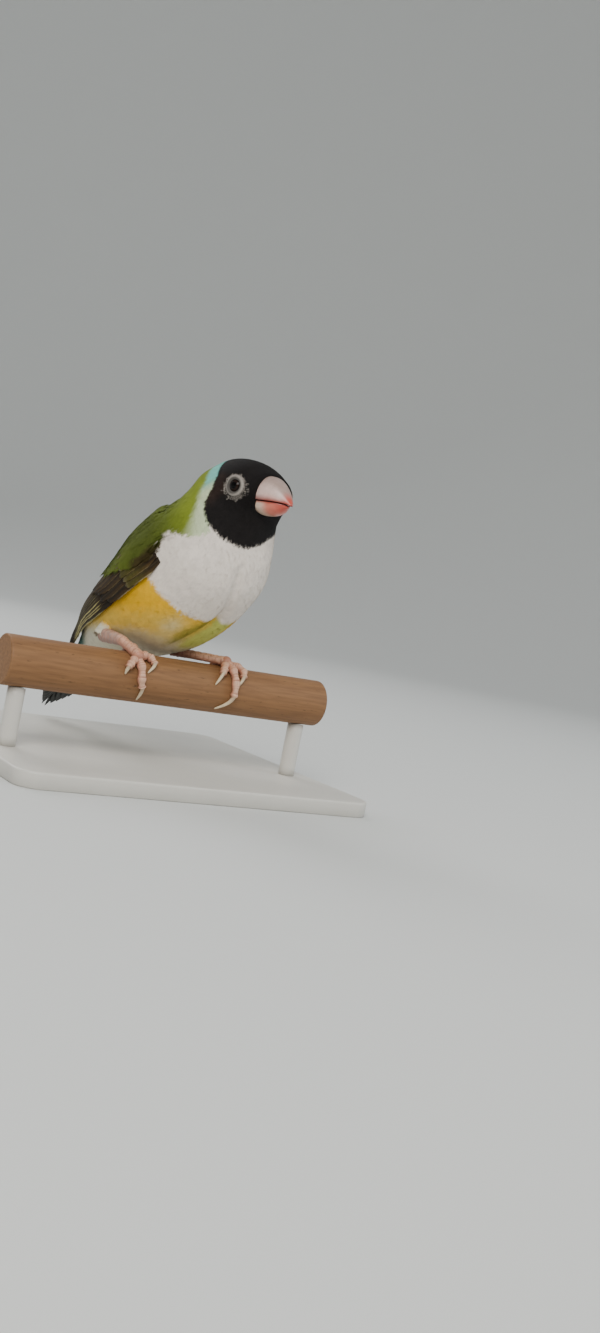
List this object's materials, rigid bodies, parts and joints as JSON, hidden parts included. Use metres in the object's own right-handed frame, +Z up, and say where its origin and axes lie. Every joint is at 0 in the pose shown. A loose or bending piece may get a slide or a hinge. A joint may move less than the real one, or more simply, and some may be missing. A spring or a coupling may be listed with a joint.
{
  "type": "gouldian finch",
  "caption": "Life-size gouldian finch, a small grass finch with a black mask and a stout pale bill, as a still model gripping a short cut length of wooden perch on a plain display stand",
  "frame": {"origin": "middle of the stand's underside, on the surface that the stand rests on", "axes": "+Z up; X along the perch, +X to the bird's left; the bird faces about -Y, its body turned 8 degrees and its head 12 degrees towards +X"},
  "size_m": [0.098, 0.096, 0.0849],
  "materials": {
    "plumage_black": "soft matte plumage, slight sheen",
    "plumage_green": "soft matte plumage",
    "plumage_yellow": "soft matte plumage",
    "plumage_white": "soft matte plumage",
    "plumage_brown": "flight feathers, satin",
    "horn_pink": "satin horn",
    "horn_red": "satin horn",
    "flesh_pink": "scaled skin, satin",
    "eye_dark": "wet gloss",
    "perch_wood": "worn satin wood",
    "stand_paint": "plain matte paint"
  },
  "bodies": {
    "root": {"rump": "plumage_green", "torso": "plumage_yellow", "neck": "plumage_white", "head": "plumage_black", "bill_upper": "horn_pink", "bill_lower": "horn_red", "eye_left": "eye_dark", "eye_right": "eye_dark", "wing_left": "plumage_brown", "wing_right": "plumage_brown", "tail": "plumage_black", "thigh_right": "plumage_white", "shank_left": "flesh_pink", "shank_right": "flesh_pink", "foot_left": "flesh_pink", "foot_right": "flesh_pink", "perch": "perch_wood", "stand_base": "stand_paint", "stand_rod_left": "stand_paint", "stand_rod_right": "stand_paint"}
  },
  "joints": []
}
